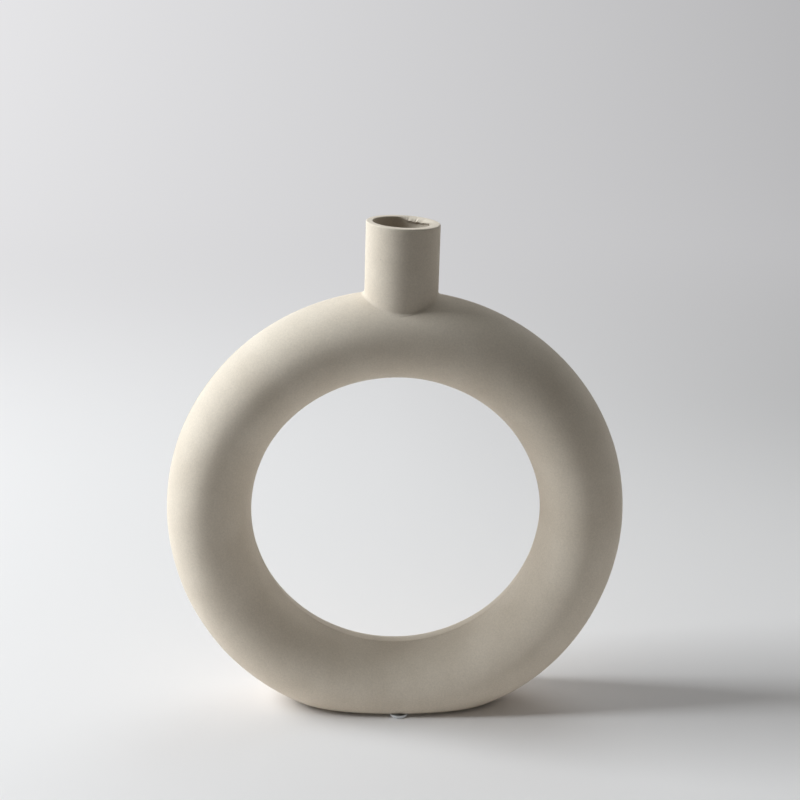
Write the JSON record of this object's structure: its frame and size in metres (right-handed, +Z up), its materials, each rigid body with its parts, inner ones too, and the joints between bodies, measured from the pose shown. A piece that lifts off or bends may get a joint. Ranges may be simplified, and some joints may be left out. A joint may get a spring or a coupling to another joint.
{
  "type": "donut vase",
  "caption": "Upright ring-shaped stoneware vase, hollow inside, with a short straight neck at the top, a flat foot and clear bumpers under it.",
  "frame": {"origin": "on the floor, under the middle of the ring", "axes": "+Z up, +X along the ring's width, +Y from the front of the ring to its back"},
  "size_m": [0.212, 0.045, 0.2346],
  "materials": {
    "stoneware": "fine matte bisque, unglazed",
    "slip": "matte, smoothed with a sponge",
    "clear_bumper": "clear soft polyurethane, satin",
    "adhesive": "clear pressure-sensitive adhesive"
  },
  "bodies": {
    "root": {"ring_front_half": "stoneware", "ring_rear_half": "stoneware", "ring_seam_slip": "slip", "neck": "stoneware", "neck_slip_bead": "slip", "foot_front": "clear_bumper", "adhesive_front": "adhesive", "foot_rear": "clear_bumper", "adhesive_rear": "adhesive", "foot_left": "clear_bumper", "adhesive_left": "adhesive", "foot_right": "clear_bumper", "adhesive_right": "adhesive"}
  },
  "joints": []
}
